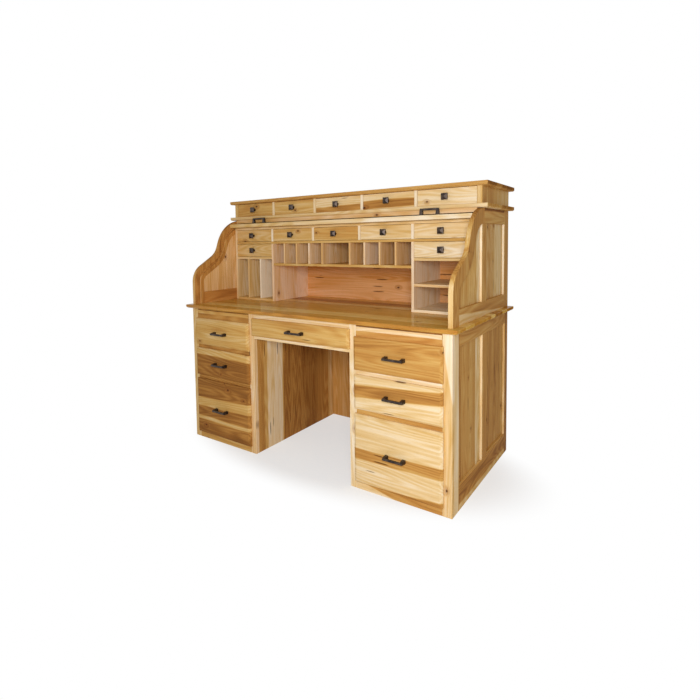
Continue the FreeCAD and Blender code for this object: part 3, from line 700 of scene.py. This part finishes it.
def slatCurtain():
    joint = next(entry for entry in frame["record"]["behaviour"]["joints"] if entry["name"] == "roll_bend")
    low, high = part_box("tambour_slats")
    front = low.y
    rear = front + curtain["firstStill"] * curtain["pitch"]
    bottom = high.z - curtain["thickness"]
    height = (bottom + high.z) / 2
    turn = math.radians(joint["range_deg"][1] - joint["range_deg"][0])
    edges = slatEdges(rear, front, height, Vector(joint["pos_m"]), turn)
    slats = [(roundedSlat(Vector((low.x, start, bottom)), Vector((high.x, end, high.z))), slatLook)
             for start, end in zip(edges[::2], edges[1::2])]
    piece = boardPiece("tambour_run", slats, lacqueredHickory)
    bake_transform(piece)
    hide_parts("tambour_slats")


dressNode("tambour_slats", [slatLook], lacqueredHickory, first=curtain["firstStill"])
slatCurtain()
print("curtain hung")


# Hardware: bar pulls on the large drawers and the lead rail, square knobs on the small drawers
pull = {"bar": 0.0095, "foot": 0.0165, "neck": 0.0125, "projection": 0.033, "ease": 0.0018}
knob = {
    "neck": 0.0055, "flare": 0.0085, "neckLength": 0.020, "neckSides": 32, "rim": 0.006,
    "border": 0.0032, "borderRise": 0.0016, "point": 0.0054, "pointFlat": 0.008, "ease": 0.0009,
}
casting = {"sharpOver": 15, "easeSegments": 3}


def eased(shape, ease):
    limit = math.radians(casting["sharpOver"])
    sharp = [edge for edge in shape.edges if edge.calc_face_angle(0) > limit]
    roundEdges(shape, sharp, ease, casting["easeSegments"])


def barPull(place, width):
    # made along X with its feet against the plane y = 0, then put in place
    shape = bmesh.new()
    reach = pull["projection"]
    barMiddle = Matrix.Translation((0, pull["bar"] / 2 - reach, 0))
    barSize = Matrix.Diagonal((width, pull["bar"], pull["bar"], 1))
    bmesh.ops.create_cube(shape, size=1, matrix=barMiddle @ barSize)
    # a foot is a four-sided cone, turned so that its sides are level
    upright = Matrix.Rotation(math.pi / 2, 4, "X") @ Matrix.Rotation(math.pi / 4, 4, "Z")
    footDepth = reach - pull["bar"] / 2
    for side in (-1, 1):
        middle = Matrix.Translation((side * (width - pull["neck"]) / 2, -footDepth / 2, 0))
        bmesh.ops.create_cone(shape, cap_ends=True, segments=4, radius1=pull["foot"] / math.sqrt(2),
                              radius2=pull["neck"] / math.sqrt(2), depth=footDepth, matrix=middle @ upright)
    eased(shape, pull["ease"])
    bmesh.ops.transform(shape, matrix=place, verts=shape.verts)
    return shape


def squareKnob(place, size):
    # a flared neck from the plane y = 0, a square head, a raised border and a blunt point
    shape = bmesh.new()
    neckMiddle = Matrix.Translation((0, -knob["neckLength"] / 2, 0))
    upright = Matrix.Rotation(math.pi / 2, 4, "X")
    bmesh.ops.create_cone(shape, cap_ends=True, segments=knob["neckSides"], radius1=knob["flare"],
                          radius2=knob["neck"], depth=knob["neckLength"], matrix=neckMiddle @ upright)
    headMiddle = Matrix.Translation((0, -knob["neckLength"] - knob["rim"] / 2, 0))
    bmesh.ops.create_cube(shape, size=1, matrix=headMiddle @ Matrix.Diagonal((size, knob["rim"], size, 1)))
    shape.normal_update()
    front = [min(shape.faces, key=lambda face: face.calc_center_median().y)]
    bmesh.ops.inset_region(shape, faces=front, thickness=knob["border"], depth=knob["borderRise"],
                           use_even_offset=True)
    pointInset = size / 2 - knob["border"] - knob["pointFlat"] / 2
    bmesh.ops.inset_region(shape, faces=front, thickness=pointInset, depth=knob["point"],
                           use_even_offset=True)
    eased(shape, knob["ease"])
    bmesh.ops.transform(shape, matrix=place, verts=shape.verts)
    return shape


def metalPiece(node, shapes):
    piece = finished(f"{node}_metal", joined(f"{node}_metal", shapes), darkBronze)
    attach(piece, bodyOf[node])
    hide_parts(node)


pullLow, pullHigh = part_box("centre_drawer_pull")
pullWidth = pullHigh.x - pullLow.x
for name in nodes:
    low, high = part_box(name)
    middle = (low + high) / 2
    seat = Matrix.Translation((middle.x, high.y, middle.z))
    if name.endswith("_knob"):
        metalPiece(name, [squareKnob(seat, high.x - low.x)])
    elif name.endswith("_pull"):
        metalPiece(name, [barPull(seat, pullWidth)])
    elif name.endswith("_pulls"):
        # the lead rail's pair stands up from the rail
        standing = Matrix.Rotation(-math.pi / 2, 4, "X")
        spread = high.x - pullWidth / 2
        seats = [Matrix.Translation((side * spread, middle.y, low.z)) @ standing for side in (-1, 1)]
        metalPiece(name, [barPull(place, pullWidth) for place in seats])
print("hardware fitted")


# Stage: a pale floor that fades to white, one soft key light and a white surround
stage = {
    "floorSize": 16, "floorColour": linear(250, 249, 247), "surround": 0.36,
    "fadeFrom": 0.95, "fadeTo": 1.4, "shadowLift": 0.55,
    "keyPlace": (1.45, -2.4, 1.30), "keyAim": (0.1, 0, 0.75), "keySize": 0.8, "keyPower": 41,
}


def seenDirectly(start):
    # what the camera, a reflection or a clear piece sees, but not what lights the desk
    path = start.tree.nodes.new("ShaderNodeLightPath")
    camera, glossy, clear = (Wire(start.tree, path.outputs[label])
                             for label in ("Is Camera Ray", "Is Glossy Ray", "Is Transmission Ray"))
    return camera.maths("MAXIMUM", glossy).maths("MAXIMUM", clear)


def whiteSurround():
    world = bpy.data.worlds.new("white_surround")
    world.use_nodes = True
    world.node_tree.nodes.clear()
    start = Wire(world.node_tree)
    strength = seenDirectly(start) * (1 - stage["surround"]) + stage["surround"]
    light = start.add("ShaderNodeBackground", values={"Color": (1, 1, 1, 1), "Strength": strength})
    start.add("ShaderNodeOutputWorld", values={"Surface": light})
    bpy.context.scene.world = world


def paleFloor():
    shape = bmesh.new()
    bmesh.ops.create_grid(shape, x_segments=1, y_segments=1, size=stage["floorSize"] / 2)
    mesh = bpy.data.meshes.new("floor")
    shape.to_mesh(mesh)
    shape.free()
    material, start = newMaterial("pale_floor")
    place = start.add("ShaderNodeTexCoord", output="Object")
    # 1 along the ellipse that touches the desk's sides
    footprint = place.stretched(1 / cadBox[1][0], 1 / cadBox[1][1], 0)
    distance = start.add("ShaderNodeVectorMath", {"operation": "LENGTH"}, {0: footprint}, output=1)
    fade = distance.smooth(stage["fadeFrom"], stage["fadeTo"])
    faded = (fade * (1 - stage["shadowLift"]) + stage["shadowLift"]) * seenDirectly(start)
    matt = start.add("ShaderNodeBsdfDiffuse", values={"Color": stage["floorColour"]})
    white = start.add("ShaderNodeEmission", values={"Color": (1, 1, 1, 1), "Strength": 1})
    mixed = start.add("ShaderNodeMixShader", values={0: faded, 1: matt, 2: white})
    start.add("ShaderNodeOutputMaterial", values={"Surface": mixed})
    mesh.materials.append(material)
    floor = bpy.data.objects.new("floor", mesh)
    bpy.context.scene.collection.objects.link(floor)


def keyLight():
    lamp = bpy.data.lights.new("key_light", "AREA")
    lamp.shape = "DISK"
    lamp.size = stage["keySize"]
    lamp.energy = stage["keyPower"]
    holder = bpy.data.objects.new("key_light", lamp)
    holder.location = stage["keyPlace"]
    aim = Vector(stage["keyAim"]) - Vector(stage["keyPlace"])
    holder.rotation_euler = aim.to_track_quat("-Z", "Y").to_euler()
    bpy.context.scene.collection.objects.link(holder)


viewpoint = {
    "place": (1.4331, -2.1612, 1.1032), "yaw": -0.6329, "pitch": -0.0643, "roll": -0.0161,
    "lens": 24.90, "sensor": 36, "shift": (0.0483, -0.1098),
}


def photoCamera():
    yaw, pitch = viewpoint["yaw"], viewpoint["pitch"]
    forward = Vector((math.sin(yaw) * math.cos(pitch), math.cos(yaw) * math.cos(pitch), math.sin(pitch)))
    right = forward.cross(Vector((0, 0, 1))).normalized()
    turned = Matrix((right, right.cross(forward), -forward)).transposed()
    turned = turned @ Matrix.Rotation(viewpoint["roll"], 3, "Z")
    camera = bpy.data.cameras.new("photo_camera")
    camera.lens = viewpoint["lens"]
    camera.sensor_width = viewpoint["sensor"]
    camera.shift_x, camera.shift_y = viewpoint["shift"]
    holder = bpy.data.objects.new("photo_camera", camera)
    holder.matrix_world = Matrix.Translation(viewpoint["place"]) @ turned.to_4x4()
    bpy.context.scene.collection.objects.link(holder)
    bpy.context.scene.camera = holder


whiteSurround()
paleFloor()
keyLight()
photoCamera()
bpy.context.scene.view_settings.view_transform = "Standard"
print("stage set")
